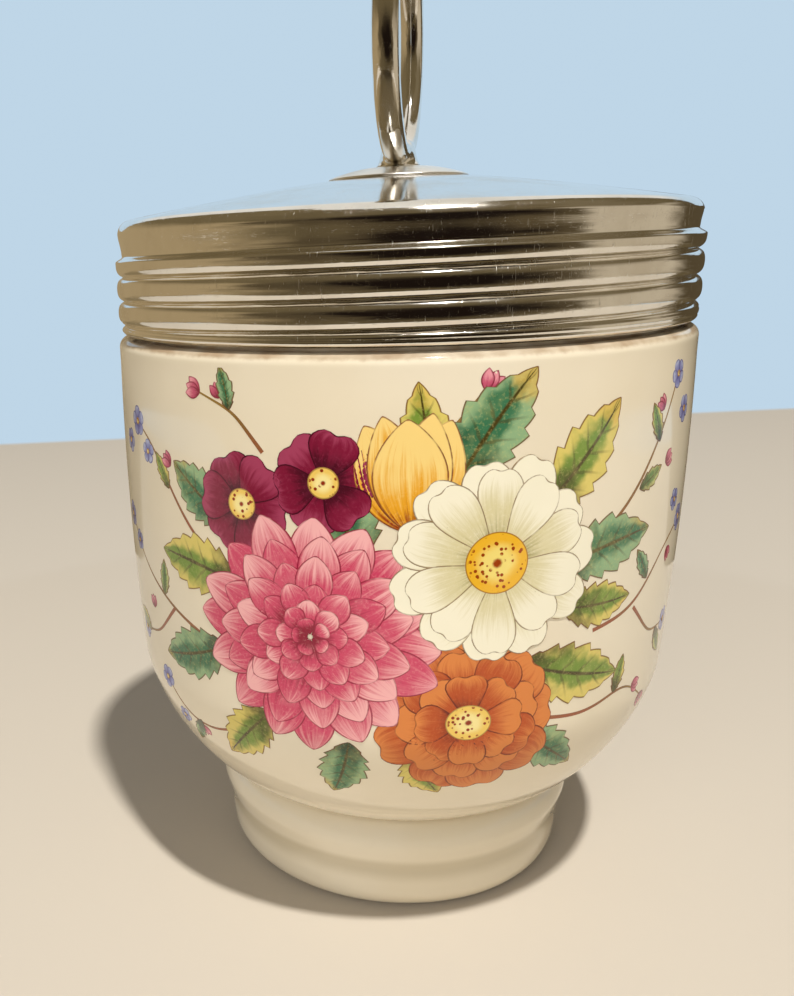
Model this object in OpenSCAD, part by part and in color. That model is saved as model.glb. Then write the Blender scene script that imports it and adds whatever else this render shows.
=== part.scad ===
// An egg coddler: a footed porcelain cup, closed by a metal lid that screws on
// to its neck and is lifted by an upright ring. Millimetres. The cup stands on
// z = 0 with its axis on Z, and its painted front looks towards -Y.

/* [Cup] */
// Height of the shoulder, on which the neck stands
shoulder_z = 62.8; // [56:0.2:72]
// Outside diameter of the body at its widest
belly_d = 62.6; // [61.6:0.2:66]
// Height at which the body is widest
belly_z = 52; // [46:1:55]
// Height at which the rounded bowl has run into the side
bowl_top = 26.6; // [24:0.2:32]
// How much less radius the side has at the bowl's top than at its widest
side_taper = 0.9; // [0.2:0.1:2]
// How far the bowl draws in, from the side to the crease above the foot
bowl_draw = 9.8; // [8:0.2:11]
// Radius that rounds the shoulder into the side
shoulder_round = 1.2; // [0.6:0.1:1.3]
// Thickness of the porcelain in the side
wall_t = 3.2; // [2.6:0.1:4]
// Thickness of the porcelain under the well
floor_t = 4.6; // [3.6:0.2:6]

/* [Foot] */
// Outside diameter of the foot's lower bead
base_d = 40.6; // [39:0.2:42]
// Outside diameter of the foot's upper bead
bead_d = 42.6; // [41:0.2:44]
// Height of the foot, up to the crease below the bowl
foot_h = 11.6; // [10.8:0.2:12.4]
// Depth of the hollow between the two beads
waist_depth = 0.3; // [0.2:0.1:1]
// How far the lower bead tucks in under itself
base_tuck = 2.3; // [1.4:0.1:2.6]
// Height of the lower bead's widest circle
lower_bead_z = 2.8; // [2:0.1:3.6]
// Height of the upper bead's widest circle
upper_bead_z = 8.8; // [8:0.1:9.8]
// Width of the flat ring that the foot stands on
foot_ring_w = 2.4; // [1.6:0.1:4]
// Depth of the recess under the foot
recess_h = 3.8; // [2.4:0.1:3.9]

/* [Neck and thread] */
// How far the neck stands in from the body's widest circle
neck_inset = 2; // [1.7:0.1:2.8]
// Height of the rim above the lid's ledge
rim_rise = 2; // [1.5:0.1:4]
// Thickness of the neck
neck_t = 3; // [2.6:0.1:3.6]
// Rise of the thread in one turn
thread_pitch = 2.5; // [2:0.1:2.8]
// How far the porcelain thread stands out from the neck
thread_h = 0.75; // [0.5:0.05:0.9]
// Height of the band that holds the porcelain thread
thread_band = 6.4; // [4.4:0.2:6.6]
// Height above the lid's edge of a crest, at the lid's left side
crest_start = 2; // [1.6:0.05:2.5]

/* [Lid] */
// Thickness of the lid's sheet metal
sheet_t = 0.45; // [0.3:0.05:0.5]
// Clearance between the lid's edge and the shoulder
edge_gap = 0.4; // [0.3:0.1:1]
// Least clearance over the porcelain thread
thread_gap = 0.31; // [0.3:0.01:0.5]
// How far the lid's inner valleys reach in behind the porcelain crests
thread_bite = 0.25; // [0.1:0.05:0.3]
// How far the rolled beads stand out from the valleys between them
bead_rise = 0.75; // [0.6:0.05:0.9]
// How far the plain skirt stands out from the valleys
skirt_step = 0.35; // [0.3:0.05:0.5]
// Height of the rolled band, from the lid's edge to the ledge
rolled_h = 8.8; // [8.6:0.1:9.4]
// Clearance between the rim and the lid's top
rim_gap = 0.4; // [0.3:0.1:0.9]
// Radius of the corner between skirt and dome
corner_r = 1.5; // [1:0.1:2]
// Rise of the dome, from its corner to its flat seat
dome_rise = 3.2; // [1:0.1:4]
// How the dome falls away from its seat: 1 is a cone, 2 is a bowl
dome_power = 1.2; // [1:0.1:2]
// Diameter of the flat seat in the middle of the dome
seat_d = 16; // [12:0.5:20]

/* [Lifting ring] */
// Outside diameter of the ring
ring_d = 25; // [18:0.5:32]
// Diameter of the ring's wire
wire_d = 2.7; // [2:0.1:3.4]
// Angle of the ring's plane from straight ahead
ring_turn = 7; // [-90:1:90]
// Diameter of the round plate below the ring
plate_d = 15; // [11:0.5:15.5]
// Thickness of the plate's rim
plate_t = 0.6; // [0.5:0.1:1.2]
// Height by which the plate's middle stands above its rim
plate_crown = 0.7; // [0.2:0.1:0.9]
// Height of the flared foot of the ring
flare_h = 1.8; // [1.6:0.1:3]
// Diameter of the flare where it meets the plate
flare_d = 5.2; // [4.4:0.1:8]
// Diameter of the stud that goes down through the lid
stud_d = 3; // [2.4:0.1:3.6]

/* [Washer and nut] */
// Outside diameter of the washer inside the lid
washer_d = 10; // [8:0.5:12]
// Thickness of the washer
washer_t = 0.8; // [0.5:0.1:1.2]
// Width of the nut across its flats
nut_w = 6; // [5:0.1:7]
// Height of the nut
nut_h = 2.4; // [1.8:0.1:3]
// Length of the stud below the nut
stud_end = 0.8; // [0.4:0.1:1.6]
// Radial clearance of the washer's hole and the lid's hole round the stud
hole_gap = 0.15; // [0.1:0.05:0.25]
// Clearance above and below the washer
washer_gap = 0.1; // [0.05:0.05:0.2]

/* [Hidden] */

// Steps along a drawn curve, sides round a threaded wall, rows in one turn of thread.
curve_steps = 20;
arc_steps = 6;
band_sides = 60;
rows_a_turn = 6;

// The bowl's section: how round it is, and how full.
bowl_round = 1.5;
bowl_fill = 0.6;

// Small steps of the neck: how far its core lies under the threaded band, how
// far the collar above the thread stands out, and the plain part below it.
core_step = 0.9;
collar_step = 0.15;
thread_lead = 1.1;

// The rolled band: the height over which its beads grow at the hem, the height
// in which they fade at the ledge, how far the lip inside the ledge steps in,
// how deep one solid is set into the next, and the curl of the lower edge.
hem_h = 1.6;
fade_h = 0.8;
lip_step = 0.1;
lip_h = 0.5;
embed = 0.4;
edge_curl = 0.2;

// How much slimmer than the wire the flare is at its top, and how far the holes
// of washer and nut are cut past their faces.
flare_step = 0.1;
cut_past = 1;

// Heights, from the shoulder up.
edge_z = shoulder_z + edge_gap;
ledge_z = edge_z + rolled_h;
rim_z = ledge_z + rim_rise;
floor_z = recess_h + floor_t;
collar_z = ledge_z - core_step;
thread_low_z = edge_z + thread_lead;
thread_top_z = thread_low_z + thread_band;

// Radii of the neck and of the lid that goes over it.
neck_r = belly_d / 2 - neck_inset;
neck_in_r = neck_r - neck_t;
collar_r = neck_r + collar_step;
thread_r = neck_r + thread_h;
valley_in_r = thread_r - thread_bite;
valley_r = valley_in_r + sheet_t;
skirt_r = valley_r + skirt_step;
hem_rise = thread_bite + thread_gap;
hem_share = min(1, hem_rise / bead_rise);
lip_in_r = valley_in_r + lip_step / 2;

// The dome: its corner circle, its slope at the corner and its flat seat.
seat_r = seat_d / 2;
dome_r = skirt_r - corner_r;
dome_slope = atan(dome_power * dome_rise / (dome_r - seat_r));
corner_z = rim_z + rim_gap + sheet_t - corner_r * cos(dome_slope);
dome_low_r = dome_r + corner_r * sin(dome_slope);
dome_low_z = corner_z + corner_r * cos(dome_slope);
seat_z = dome_low_z + dome_rise;

// The stack on the stud.
stud_r = stud_d / 2;
hole_r = stud_r + hole_gap;
plate_top = seat_z + plate_t + plate_crown;
ring_mid_r = (ring_d - wire_d) / 2;
ring_z = plate_top + ring_d / 2;
flare_top_r = wire_d / 2 - flare_step;
washer_top = seat_z - sheet_t - washer_gap;
nut_top = washer_top - washer_t - washer_gap;
stud_low = nut_top - nut_h - stud_end;

// From 0 to 1 as x goes from low to high, level at both ends.
function ease(x, low, high) =
    let (t = min(1, max(0, (x - low) / (high - low))))
    t * t * (3 - 2 * t);

// Angle round the thread's section, 0 on a crest, at the angle a round the cup.
// The thread is right-handed: its crest rises with the angle.
function thread_angle(a, z) =
    360 * (z - edge_z - crest_start) / thread_pitch - (a + 180);

// Share of the full bead, from 0 in a valley to 1 on a crest.
function bead(a, z) = (1 + cos(thread_angle(a, z))) / 2;

// Outside radius of the body, from the crease up to the shoulder.
function side_r(z) = belly_d / 2 - side_taper * pow((belly_z - z) / (belly_z - bowl_top), 2);
function bowl_r(z) =
    let (t = min(1, (z - foot_h) / (bowl_top - foot_h)))
    side_r(z) - bowl_draw * (1 - pow(1 - pow(1 - t, bowl_round), bowl_fill));

// Inside radius of the well: an oval bottom, the side, then in to the neck.
function well_r(z) =
    let (t = min(1, (z - floor_z) / (bowl_top - floor_z)))
    let (straight = side_r(z) - wall_t)
    let (drawn = straight + (neck_in_r - straight) * ease(z, belly_z, shoulder_z))
    drawn * sqrt(1 - pow(1 - t, 2));

// Outside radius of the foot, from its lower bead at t = 0 to its upper at t = 1.
function waist_r(t) =
    (base_d + (bead_d - base_d) * t) / 2 - waist_depth * (1 - cos(360 * t)) / 2;
crease_r = bowl_r(foot_h);
recess_r = base_d / 2 - base_tuck - foot_ring_w;

// Steps from 0 to 1.
function steps(count) = [for (i = [0 : count]) i / count];

// Outline of the cup's wall on one side of the axis.
function cup_outline() = concat(
    // the foot's lower bead, from the resting plane out
    [for (t = steps(arc_steps)) [
        base_d / 2 - base_tuck * (1 - sin(90 * t)),
        lower_bead_z * (1 - cos(90 * t))
    ]],
    // the hollow between the beads
    [for (t = steps(curve_steps / 2)) if (t > 0)
        [waist_r(t), lower_bead_z + (upper_bead_z - lower_bead_z) * t]
    ],
    // over the upper bead, down into the crease
    [for (t = steps(arc_steps)) if (t > 0) [
        crease_r + (bead_d / 2 - crease_r) * cos(90 * t),
        upper_bead_z + (foot_h - upper_bead_z) * sin(90 * t)
    ]],
    // the bowl
    [for (t = steps(curve_steps)) if (t > 0)
        let (z = foot_h + (bowl_top - foot_h) * t * t)
        [bowl_r(z), z]
    ],
    // the side
    [for (t = steps(curve_steps / 2)) if (t > 0)
        let (z = bowl_top + (shoulder_z - shoulder_round - bowl_top) * t)
        [side_r(z), z]
    ],
    // the shoulder
    [for (t = steps(arc_steps)) if (t > 0) [
        side_r(shoulder_z - shoulder_round) - shoulder_round * (1 - cos(90 * t)),
        shoulder_z - shoulder_round * (1 - sin(90 * t))
    ]],
    // the neck, thinner where the threaded band goes round it
    [[neck_r - core_step, shoulder_z], [neck_r - core_step, collar_z], [collar_r, collar_z]],
    // the rim
    [for (t = steps(2 * arc_steps)) [
        (collar_r + neck_in_r) / 2 + (collar_r - neck_in_r) / 2 * cos(180 * t),
        rim_z - (collar_r - neck_in_r) / 2 * (1 - sin(180 * t))
    ]],
    // down inside the neck and the side
    [for (t = steps(curve_steps))
        let (z = shoulder_z - (shoulder_z - bowl_top) * t)
        [well_r(z), z]
    ],
    // the well's oval bottom
    [for (t = steps(curve_steps)) if (t > 0 && t < 1)
        let (z = floor_z + (bowl_top - floor_z) * (1 - sin(90 * t)))
        [well_r(z), z]
    ],
    [[0, floor_z], [0, recess_h]],
    // the recess under the foot, coved into its wall
    [for (t = steps(arc_steps)) [
        recess_r - recess_h * (1 - sin(90 * t)),
        recess_h * cos(90 * t)
    ]]
);

// A closed wall round Z, from z_list[0] up. outer and inner give its radii at
// an angle and a height.
module wall_band(z_list, outer, inner) {
    n = band_sides;
    inside = n * len(z_list);
    top = n * (len(z_list) - 1);
    function skin(radius) = [for (z = z_list, i = [0 : n - 1])
        let (a = 360 * i / n)
        let (r = radius(a, z))
        [r * cos(a), r * sin(a), z]
    ];
    points = concat(skin(outer), skin(inner));
    walls = [for (k = [0 : len(z_list) - 2], i = [0 : n - 1])
        let (j = (i + 1) % n)
        let (a = k * n + i)
        let (b = k * n + j)
        each [
            [a, a + n, b + n],
            [a, b + n, b],
            [a + inside, b + inside, b + n + inside],
            [a + inside, b + n + inside, a + n + inside]
        ]
    ];
    ends = [for (i = [0 : n - 1])
        let (j = (i + 1) % n)
        each [
            [i, j, j + inside],
            [i, j + inside, i + inside],
            [top + j, top + i, top + i + inside],
            [top + j, top + i + inside, top + j + inside]
        ]
    ];
    polyhedron(points, concat(walls, ends), convexity = 10);
}

// Heights from low to high, about rows_a_turn of them in one pitch.
function rows(low, high) =
    let (count = ceil((high - low) * rows_a_turn / thread_pitch))
    [for (k = [0 : count]) low + (high - low) * k / count];

// Porcelain cup: foot, bowl, side, shoulder, and a neck with a raised thread.
module cup() {
    ridge = function(a, z)
        neck_r + thread_h * pow(bead(a, z), 2)
            * ease(z, thread_low_z, thread_low_z + fade_h)
            * (1 - ease(z, thread_top_z - fade_h, thread_top_z));
    core = function(a, z) neck_r - 2 * core_step;
    color("ivory") {
        rotate_extrude($fn = 96) polygon(cup_outline());
        wall_band(rows(shoulder_z - embed, collar_z + embed), ridge, core);
    }
}

// Outline of the lid's dome, corner, plain skirt and thickened lip.
function cap_outline() = concat(
    [[skirt_r, ledge_z]],
    [for (t = steps(arc_steps)) [
        dome_r + corner_r * cos((90 - dome_slope) * t),
        corner_z + corner_r * sin((90 - dome_slope) * t)
    ]],
    dome_points(0),
    [[hole_r, seat_z], [hole_r, seat_z - sheet_t]],
    reverse(dome_points(sheet_t)),
    [for (t = steps(arc_steps)) [
        dome_r + (corner_r - sheet_t) * cos((90 - dome_slope) * (1 - t)),
        corner_z + (corner_r - sheet_t) * sin((90 - dome_slope) * (1 - t))
    ]],
    [
        [skirt_r - sheet_t, ledge_z + lip_h],
        [lip_in_r, ledge_z + lip_h],
        [lip_in_r, ledge_z]
    ]
);

// The dome from near its corner to its seat, lowered by drop.
function dome_points(drop) = [for (t = steps(arc_steps)) if (t > 0) [
    dome_low_r + (seat_r - dome_low_r) * t,
    seat_z - drop - dome_rise * pow(1 - t, dome_power)
]];

function reverse(list) = [for (i = [len(list) - 1 : -1 : 0]) list[i]];

// Metal lid: one sheet with a low dome, a plain skirt and a rolled thread.
module lid_cap() {
    share = function(z)
        (hem_share + (1 - hem_share) * ease(z, edge_z + edge_curl, edge_z + hem_h))
            * (1 - ease(z, ledge_z - fade_h, ledge_z));
    outer = function(a, z)
        valley_r + bead_rise * bead(a, z) * share(z)
            - edge_curl * (1 - ease(z, edge_z, edge_z + 2 * edge_curl));
    inner = function(a, z)
        valley_in_r + lip_step * ease(z, ledge_z - fade_h, ledge_z)
            + bead_rise * bead(a, z) * share(z);
    color("silver") {
        rotate_extrude($fn = 96) polygon(cap_outline());
        wall_band(rows(edge_z, ledge_z + embed), outer, inner);
    }
}

// Thin crowned plate that lies on the dome's seat.
module rose_plate() {
    edge_r = plate_d / 2;
    round_r = plate_t / 2;
    color("gainsboro")
        rotate_extrude($fn = 96)
            polygon(concat(
                [[hole_r, seat_z]],
                [for (t = steps(arc_steps)) [
                    edge_r - round_r + round_r * cos(180 * t - 90),
                    seat_z + round_r + round_r * sin(180 * t - 90)
                ]],
                [for (t = steps(arc_steps)) if (t > 0) [
                    edge_r - round_r + (flare_d / 2 - edge_r + round_r) * t,
                    seat_z + plate_t + plate_crown * sin(90 * t)
                ]],
                [[hole_r, plate_top]]
            ));
}

// Upright ring with a flared foot, and the stud that holds it to the lid.
module lifting_ring() {
    color("silver") {
        rotate([0, 0, -ring_turn])
            translate([0, 0, ring_z])
                rotate([0, 90, 0])
                    rotate_extrude($fn = 96)
                        translate([ring_mid_r, 0])
                            circle(d = wire_d, $fn = 32);
        rotate_extrude($fn = 96)
            polygon(concat(
                [[0, stud_low], [stud_r, stud_low], [stud_r, plate_top]],
                [for (t = steps(arc_steps)) [
                    flare_d / 2 - (flare_d / 2 - flare_top_r) * sin(90 * t),
                    plate_top + flare_h * (1 - cos(90 * t))
                ]],
                [[0, plate_top + flare_h]]
            ));
    }
}

// Flat washer round the stud, under the dome.
module inner_washer() {
    color("silver")
        translate([0, 0, washer_top - washer_t])
            difference() {
                cylinder(h = washer_t, d = washer_d, $fn = 64);
                translate([0, 0, -cut_past])
                    cylinder(h = washer_t + 2 * cut_past, r = hole_r, $fn = 48);
            }
}

// Hexagon nut on the stud, below the washer.
module stud_nut() {
    color("darkgray")
        translate([0, 0, nut_top - nut_h])
            difference() {
                cylinder(h = nut_h, d = nut_w / cos(30), $fn = 6);
                translate([0, 0, -cut_past])
                    cylinder(h = nut_h + 2 * cut_past, r = stud_r, $fn = 48);
            }
}

cup();
lid_cap();
rose_plate();
lifting_ring();
inner_washer();
stud_nut();
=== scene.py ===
# %% [markdown]
# # An egg coddler
#
# An egg coddler is a small porcelain cup with a metal lid that screws on. An
# egg is broken into it, the lid goes on, and the whole thing stands in hot
# water until the egg is set. The ring on top lifts it out again.
#
# The solids are already packed. This lesson dresses them: fine meshes for the
# thrown porcelain and the spun metal, a printed spray of garden flowers on the
# cup, and finishes made of nodes. Lengths are written in millimetres, and one
# helper turns them into Blender's metres.

# %% Load the solids
import math

import bmesh
import bpy
import numpy as np
from mathutils import Matrix, Vector


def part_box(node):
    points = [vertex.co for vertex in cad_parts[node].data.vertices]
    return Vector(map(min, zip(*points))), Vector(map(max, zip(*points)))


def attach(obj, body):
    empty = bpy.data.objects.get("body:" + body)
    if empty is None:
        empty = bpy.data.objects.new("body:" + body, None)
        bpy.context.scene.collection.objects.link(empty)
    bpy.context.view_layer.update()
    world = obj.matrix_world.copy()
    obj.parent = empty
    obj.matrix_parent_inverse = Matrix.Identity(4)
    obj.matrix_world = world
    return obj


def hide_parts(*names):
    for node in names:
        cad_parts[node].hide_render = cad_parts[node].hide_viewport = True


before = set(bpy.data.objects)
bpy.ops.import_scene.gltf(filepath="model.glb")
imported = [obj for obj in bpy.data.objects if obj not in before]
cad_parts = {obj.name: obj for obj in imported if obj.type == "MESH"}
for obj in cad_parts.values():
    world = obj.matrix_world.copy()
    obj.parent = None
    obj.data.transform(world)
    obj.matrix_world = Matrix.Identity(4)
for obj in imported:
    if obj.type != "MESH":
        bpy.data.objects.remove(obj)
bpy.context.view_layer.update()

MM = 0.001

# %% [markdown]
# ## Sizes
#
# What the solids already say is read from their boxes, so that every mesh here
# grows with them. The rest repeats the construction's own sizes: how far the
# neck stands in, the pitch of the thread, the thickness of the sheet.

# %% Sizes that the solids give
def solid_box(node):
    """The lowest and the highest corner of a solid, in mm."""
    return [np.array(corner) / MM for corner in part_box(node)]


CUP_HIGH = solid_box("cup")[1]
LID_LOW, LID_HIGH = solid_box("lid_cap")
PLATE_LOW, PLATE_HIGH = solid_box("rose_plate")
RING_LOW, RING_HIGH = solid_box("lifting_ring")
WASHER_LOW, WASHER_HIGH = solid_box("inner_washer")
NUT_LOW, NUT_HIGH = solid_box("stud_nut")

BELLY_R = CUP_HIGH[0]
RIM_Z = CUP_HIGH[2]
EDGE_Z = LID_LOW[2]
SEAT_Z = LID_HIGH[2]
PLATE_TOP = PLATE_HIGH[2]
print("belly radius %.2f, rim %.2f, lid's edge %.2f, seat %.2f" % (BELLY_R, RIM_Z, EDGE_Z, SEAT_Z))

# %% Sizes that repeat the construction
SHOULDER_Z = EDGE_Z - 0.4
BELLY_Z = 52.0
BOWL_TOP = 26.6
SIDE_TAPER = 0.9
BOWL_DRAW = 9.8
BOWL_ROUND = 1.5
BOWL_FILL = 0.6
SHOULDER_ROUND = 1.2
WALL_T = 3.2
FLOOR_T = 4.6
BASE_R = 20.3
BEAD_R = 21.3
FOOT_H = 11.6
WAIST_DEPTH = 0.3
BASE_TUCK = 2.3
LOWER_BEAD_Z = 2.8
UPPER_BEAD_Z = 8.8
FOOT_RING_W = 2.4
RECESS_H = 3.8
NECK_R = BELLY_R - 2.0
NECK_IN_R = NECK_R - 3.0
COLLAR_STEP = 0.15
PITCH = 2.5
THREAD_H = 0.75
THREAD_LOW = EDGE_Z + 1.1
THREAD_TOP = THREAD_LOW + 6.4
THREAD_FADE = 0.8
CREST_START = 2.0
SHEET_T = 0.45
VALLEY_IN_R = NECK_R + THREAD_H - 0.25
VALLEY_R = VALLEY_IN_R + SHEET_T
BEAD_RISE = 0.75
SKIRT_R = VALLEY_R + 0.35
LEDGE_Z = EDGE_Z + 8.8
CORNER_R = 1.5
DOME_RISE = 3.2
DOME_POWER = 1.2
SEAT_R = 8.0
HOLE_R = 1.65
PLATE_T = 0.36
WIRE_R = 1.35
RING_TURN = math.radians(7)
FLARE_R = 2.5
FLARE_H = 1.8
STUD_R = 1.5

# %% [markdown]
# ## Turned shapes
#
# Porcelain is thrown or jiggered on a wheel and the lid is spun over a former,
# so nearly every piece here is a section turned round an axis. A plain spin
# would do for that, but a thread needs a radius that changes with the angle
# too. So the section becomes rows of points, each row may change its radius
# with the angle, and the rows are joined with faces.

# %% Ease, arcs and outlines
TAU = 2 * math.pi
FINE_STEP = 0.05


def ease(x, low, high):
    """From 0 to 1 as x goes from low to high, level at both ends."""
    t = np.clip((x - low) / (high - low), 0, 1)
    return t * t * (3 - 2 * t)


def steps(count):
    """Steps from 0 to 1."""
    return np.linspace(0, 1, count + 1)


def arc(mid_r, mid_z, wide, high, start, end, count):
    """Points (radius, height) on an ellipse round its middle, from one angle to another."""
    turn = start + (end - start) * steps(count)
    return list(zip(mid_r + wide * np.cos(turn), mid_z + high * np.sin(turn)))


def both(at, known, values):
    """Both columns of values, read between their known places."""
    return np.stack([np.interp(at, known, values[:, k]) for k in (0, 1)], 1)


def outline(points, soft, longest, sharpest, closed, extra=None):
    """A smooth line along the points, with corners rounded over about soft mm. Its own points are at
    most longest mm apart and turn by at most sharpest radians. extra adds some more a mm."""
    points = np.array(points, float)
    if closed:
        points = np.vstack([points, points[:1]])
    length = np.r_[0, np.cumsum(np.hypot(*np.diff(points, axis=0).T))]
    fine = both(np.linspace(0, length[-1], int(length[-1] / FINE_STEP) + 1), length, points)
    reach = max(1, int(4 * soft / FINE_STEP))
    weight = np.exp(-0.5 * (np.arange(-reach, reach + 1) * FINE_STEP / soft) ** 2)
    weight /= weight.sum()
    if closed:
        fine = fine[:-1]
        padded = np.vstack([fine[-reach:], fine, fine[:reach]])
    else:
        before = 2 * fine[0] - fine[reach:0:-1]
        padded = np.vstack([before, fine, 2 * fine[-1] - fine[-2:-reach - 2:-1]])
    fine = np.stack([np.convolve(padded[:, k], weight, "valid") for k in (0, 1)], 1)
    line = np.vstack([fine, fine[:1]]) if closed else fine
    step = np.diff(line, axis=0)
    span = np.hypot(*step.T)
    turn = np.abs(np.gradient(np.unwrap(np.arctan2(step[:, 1], step[:, 0]))))
    need = span / longest + turn / sharpest
    if extra is not None:
        need = need + span * extra(fine[:len(span)])
    total = np.r_[0, np.cumsum(need)]
    at = np.linspace(0, total[-1], math.ceil(total[-1]) + 1)
    return both(at[:-1] if closed else at, total, line)


# %% Make a mesh from rows of points
def new_piece(name, points, faces):
    """A smooth-shaded object from points in mm."""
    data = bpy.data.meshes.new(name)
    data.from_pydata((np.asarray(points) * MM).tolist(), [], faces)
    data.polygons.foreach_set("use_smooth", [True] * len(data.polygons))
    data.update()
    piece = bpy.data.objects.new(name, data)
    bpy.context.scene.collection.objects.link(piece)
    return piece


def row_faces(rows, sides, ring):
    """Faces between neighbouring rows. With ring, the last row joins the first."""
    k = np.arange(rows if ring else rows - 1)[:, None] * sides
    up = (k + sides) % (rows * sides)
    i = np.arange(sides)[None, :]
    j = (i + 1) % sides
    return np.stack([k + i, k + j, up + j, up + i], -1).reshape(-1, 4).tolist()


def turned(name, section, sides, ring, change=None):
    """The section (radius, height) turned round Z. change(angle, radius, height) gives a new radius.
    Without ring the section is open, and a point on the axis closes each end."""
    angle = TAU * np.arange(sides)[None, :] / sides
    height = np.repeat(section[:, 1:], sides, 1)
    radius = np.repeat(section[:, :1], sides, 1)
    if change is not None:
        radius = change(angle, radius, height)
    points = np.stack([radius * np.cos(angle), radius * np.sin(angle), height], -1).reshape(-1, 3)
    faces = row_faces(len(section), sides, ring)
    if not ring:
        first, last = len(points), len(points) + 1
        top = first - sides
        points = np.vstack([points, [0, 0, section[0, 1]], [0, 0, section[-1, 1]]])
        for i in range(sides):
            j = (i + 1) % sides
            faces += [[first, j, i], [last, top + i, top + j]]
    piece = new_piece(name, points, faces)
    print(name, len(piece.data.vertices), "points")
    return piece


# %% [markdown]
# ## The camera
#
# The view is from close by, a little above the lid, and its centre of
# perspective lies left of the picture's middle. A close camera makes the lid
# look larger than the foot and bends the lid's edge into a deep curve. The
# numbers are the camera's place, its tilt, and the shift of the picture.

# %% Camera
PICTURE_W, PICTURE_H = 794, 996
FOCAL_PX = 987.9
CENTRE_X, CENTRE_Y = 231.3, 551.7
CAMERA_BACK, CAMERA_UP = 115.56, 71.48
CAMERA_PITCH, CAMERA_YAW, CAMERA_ROLL = 0.2961, 0.1699, -0.0373

lens = bpy.data.cameras.new("camera")
lens.sensor_width = 36
lens.lens = FOCAL_PX * lens.sensor_width / PICTURE_H
lens.shift_x = (PICTURE_W / 2 - CENTRE_X) / PICTURE_H
lens.shift_y = (CENTRE_Y - PICTURE_H / 2) / PICTURE_H
lens.clip_start, lens.clip_end = 0.005, 20
camera = bpy.data.objects.new("camera", lens)
camera.location = (0, -CAMERA_BACK * MM, CAMERA_UP * MM)
aim = Vector((-math.sin(CAMERA_YAW) * math.cos(CAMERA_PITCH),
              math.cos(CAMERA_YAW) * math.cos(CAMERA_PITCH),
              -math.sin(CAMERA_PITCH)))
side = Vector((math.cos(CAMERA_YAW), math.sin(CAMERA_YAW), 0))
over = side.cross(aim)
right = math.cos(CAMERA_ROLL) * side + math.sin(CAMERA_ROLL) * over
upward = math.cos(CAMERA_ROLL) * over - math.sin(CAMERA_ROLL) * side
camera.rotation_mode = "QUATERNION"
axes = [[right[k], upward[k], -aim[k]] for k in range(3)]
camera.rotation_quaternion = Matrix(axes).to_quaternion()
bpy.context.scene.collection.objects.link(camera)
bpy.context.scene.camera = camera
print("lens %.1f mm, shift %.3f %.3f" % (lens.lens, lens.shift_x, lens.shift_y))

# %% [markdown]
# ## Nodes in few words
#
# Every finish is a tree of nodes. These helpers add a node, set its values and
# link it, and their outputs take part in sums like numbers, so that a material
# reads as a short list of what it does.

# %% Node helpers
class Wire:
    """A node's output that can be added, taken away and multiplied."""

    def __init__(self, nodes, socket):
        self.nodes, self.socket = nodes, socket

    def __add__(self, other):
        return self.nodes.math("ADD", self, other)

    def __sub__(self, other):
        return self.nodes.math("SUBTRACT", self, other)

    def __mul__(self, other):
        return self.nodes.math("MULTIPLY", self, other)

    def __abs__(self):
        return self.nodes.math("ABSOLUTE", self)


class Nodes:
    """The node tree of a material or a world, and short ways to add to it."""

    def __init__(self, owner):
        owner.use_nodes = True
        self.tree = owner.node_tree

    def wires(self, node, *names):
        return [Wire(self, node.outputs[name]) for name in names]

    def add(self, kind, settings=None, output=0, **inputs):
        """A new node's output. settings are the node's properties, inputs its sockets by name or number."""
        node = self.tree.nodes.new(kind)
        for key, value in (settings or {}).items():
            setattr(node, key, value)
        for key, value in inputs.items():
            self.feed(node.inputs[int(key[1:]) if key[1:].isdigit() else key.replace("_", " ")], value)
        return Wire(self, node.outputs[output])

    def feed(self, socket, value):
        """Links a wire, or sets a plain value."""
        if isinstance(value, Wire):
            self.tree.links.new(value.socket, socket)
        else:
            socket.default_value = value

    def math(self, operation, a, b=0.0, clamp=False):
        return self.add("ShaderNodeMath", {"operation": operation, "use_clamp": clamp}, _0=a, _1=b)

    def split(self, vector):
        """The three numbers of a vector."""
        x = self.add("ShaderNodeSeparateXYZ", Vector=vector)
        return self.wires(x.socket.node, "X", "Y", "Z")

    def between(self, value, low, high, to_low=0.0, to_high=1.0):
        """The value moved from the range low..high to to_low..to_high, with soft ends."""
        return self.add("ShaderNodeMapRange", {"interpolation_type": "SMOOTHSTEP"},
                        _0=value, _1=low, _2=high, _3=to_low, _4=to_high)

    def mix(self, share, a, b):
        """Colour a where share is 0, and b where it is 1."""
        return self.add("ShaderNodeMix", {"data_type": "RGBA"}, 2, _0=share, _6=a, _7=b)

    def noise(self, place, scale, detail, rough, twist=0.0):
        return self.add("ShaderNodeTexNoise", None, "Fac", Vector=place, Scale=scale, Detail=detail,
                        Roughness=rough, Distortion=twist)

    def streaks(self, place, by, detail, rough, twist=0.0):
        """Noise that is stretched by its own scale along each axis."""
        return self.noise(self.add("ShaderNodeMapping", Vector=place, Scale=by), 1.0, detail, rough, twist)

    def seen(self):
        """1 for what the camera sees, in a mirror or through glass too, and 0 for light that fills in."""
        rays = self.tree.nodes.new("ShaderNodeLightPath")
        camera, mirror, glass = self.wires(rays, "Is Camera Ray", "Is Glossy Ray", "Is Transmission Ray")
        return self.math("ADD", camera + mirror, glass, clamp=True)


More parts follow.
